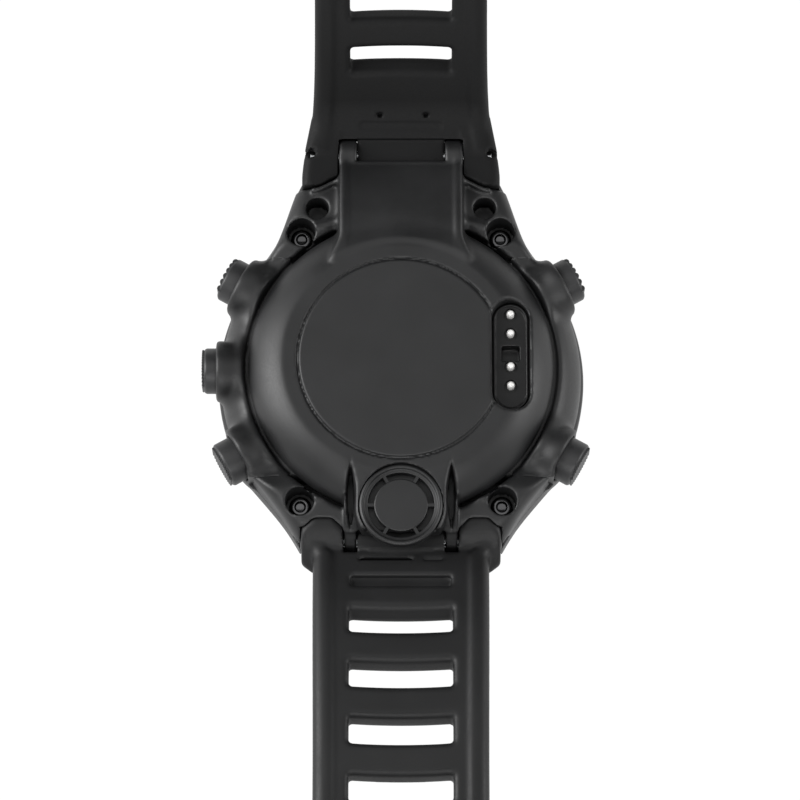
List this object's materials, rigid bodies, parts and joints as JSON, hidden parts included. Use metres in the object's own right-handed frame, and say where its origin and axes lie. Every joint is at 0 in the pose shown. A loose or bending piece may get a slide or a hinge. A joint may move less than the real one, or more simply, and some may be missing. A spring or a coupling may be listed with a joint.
{
  "type": "wrist dive computer",
  "caption": "Wrist-worn dive computer with a slotted rubber strap, sprung side buttons, a contact charging port and a ribbed depth sensor cover.",
  "frame": {"origin": "centre of the crystal's outer face, which lies on the resting plane", "axes": "+Z out of the case back towards the wrist, +Y to the 12 o'clock strap, +X to the right seen from the back"},
  "size_m": [0.0526, 0.276, 0.0434],
  "materials": {
    "shell": "fine spark-eroded texture, black",
    "bezel": "bead-blasted black coating",
    "crystal": "clear, polished",
    "seal": "smooth black",
    "display": "dark glossy panel",
    "strap": "matte black, soft rounded edges",
    "button": "fine matte black coating",
    "screw": "bright machined",
    "steel": "plain",
    "contact": "plated, bright",
    "board": "green solder mask",
    "cell": "foil wrap",
    "buckle": "matte black coating"
  },
  "bodies": {
    "case": {"bezel": "bezel", "crystal": "crystal", "crystal_gasket": "seal", "dial_ring": "shell", "display_module": "display", "display_carrier": "shell", "middle_case": "shell", "case_gasket": "seal", "rear_cover": "shell", "contact_plate": "shell", "sensor_cover": "shell", "pressure_sensor": "steel", "sensor_seal": "seal", "circuit_board": "board", "battery": "cell", "vibration_motor": "steel", "sounder_disc": "contact", "antenna": "contact", "spring_bar_upper": "steel", "spring_bar_lower": "steel", "case_screw_1": "screw", "charging_contact_1": "contact", "case_screw_2": "screw", "charging_contact_2": "contact", "case_screw_3": "screw", "charging_contact_3": "contact", "case_screw_4": "screw", "charging_contact_4": "contact", "button_guard_upper_right": "shell", "button_seal_upper_right": "seal", "button_spring_upper_right": "steel", "button_guard_lower_right": "shell", "button_seal_lower_right": "seal", "button_spring_lower_right": "steel", "button_guard_upper_left": "shell", "button_seal_upper_left": "seal", "button_spring_upper_left": "steel", "button_guard_middle_left": "shell", "button_seal_middle_left": "seal", "button_spring_middle_left": "steel", "button_guard_lower_left": "shell", "button_seal_lower_left": "seal", "button_spring_lower_left": "steel"},
    "button_upper_right": {"button_upper_right": "button", "button_clip_upper_right": "steel"},
    "button_lower_right": {"button_lower_right": "button", "button_clip_lower_right": "steel"},
    "button_upper_left": {"button_upper_left": "button", "button_clip_upper_left": "steel"},
    "button_middle_left": {"button_middle_left": "button", "button_clip_middle_left": "steel"},
    "button_lower_left": {"button_lower_left": "button", "button_clip_lower_left": "steel"},
    "upper_strap": {"upper_strap": "strap", "fixed_keeper": "strap", "buckle_bar": "steel"},
    "lower_strap": {"lower_strap": "strap"},
    "sliding_keeper": {"sliding_keeper": "strap"},
    "buckle_frame": {"buckle_frame": "buckle"},
    "buckle_tongue": {"buckle_tongue": "buckle"}
  },
  "joints": [
    {"name": "press_upper_right", "type": "slide", "parent": "case", "child": "button_upper_right", "axis": [0.8746, 0.4848, 0], "range_m": [-0.001, 0], "stiffness_N_per_m": 1500, "springref_m": 0.0015, "deforming": ["button_spring_upper_right"]},
    {"name": "press_lower_right", "type": "slide", "parent": "case", "child": "button_lower_right", "axis": [0.8746, -0.4848, 0], "range_m": [-0.001, 0], "stiffness_N_per_m": 1500, "springref_m": 0.0015, "deforming": ["button_spring_lower_right"]},
    {"name": "press_upper_left", "type": "slide", "parent": "case", "child": "button_upper_left", "axis": [-0.8746, 0.4848, 0], "range_m": [-0.001, 0], "stiffness_N_per_m": 1500, "springref_m": 0.0015, "deforming": ["button_spring_upper_left"]},
    {"name": "press_middle_left", "type": "slide", "parent": "case", "child": "button_middle_left", "axis": [-1, 0, 0], "range_m": [-0.001, 0], "stiffness_N_per_m": 1500, "springref_m": 0.0015, "deforming": ["button_spring_middle_left"]},
    {"name": "press_lower_left", "type": "slide", "parent": "case", "child": "button_lower_left", "axis": [-0.8746, -0.4848, 0], "range_m": [-0.001, 0], "stiffness_N_per_m": 1500, "springref_m": 0.0015, "deforming": ["button_spring_lower_left"]},
    {"name": "upper_strap_hinge", "type": "hinge", "parent": "case", "child": "upper_strap", "pos_m": [0, 0.0302, 0.0115], "axis": [1, 0, 0], "range_deg": [-15, 45]},
    {"name": "lower_strap_hinge", "type": "hinge", "parent": "case", "child": "lower_strap", "pos_m": [0, -0.0236, 0.009], "axis": [-1, 0, 0], "range_deg": [0, 22]},
    {"name": "keeper_slide", "type": "slide", "parent": "upper_strap", "child": "sliding_keeper", "axis": [0, 1, 0], "range_m": [-0.005, 0.002]},
    {"name": "buckle_frame_hinge", "type": "hinge", "parent": "upper_strap", "child": "buckle_frame", "pos_m": [0, 0.11264, 0.03994], "axis": [1, 0, 0], "range_deg": [0, 60]},
    {"name": "buckle_tongue_hinge", "type": "hinge", "parent": "upper_strap", "child": "buckle_tongue", "pos_m": [0, 0.11264, 0.03994], "axis": [1, 0, 0], "range_deg": [-85, 0]}
  ]
}
